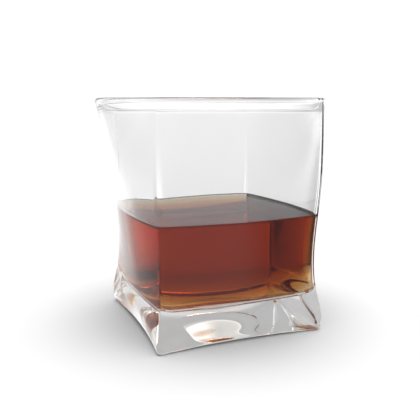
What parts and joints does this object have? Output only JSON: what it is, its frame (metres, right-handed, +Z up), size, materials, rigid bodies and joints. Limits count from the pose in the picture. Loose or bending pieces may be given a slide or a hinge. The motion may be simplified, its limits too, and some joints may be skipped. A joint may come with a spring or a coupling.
{
  "type": "glass of whiskey",
  "caption": "Whiskey in a heavy old-fashioned glass with a round mouth, a square foot and upright corner creases.",
  "frame": {"origin": "centre of the foot, on the surface it stands on", "axes": "+Z up along the glass; the four sides of the foot face +X, -X, +Y and -Y"},
  "size_m": [0.0904, 0.0904, 0.09],
  "materials": {
    "glass": "clear, polished",
    "whiskey": "clear red-brown liquid"
  },
  "bodies": {
    "root": {"glass": "glass", "whiskey": "whiskey"}
  },
  "joints": []
}
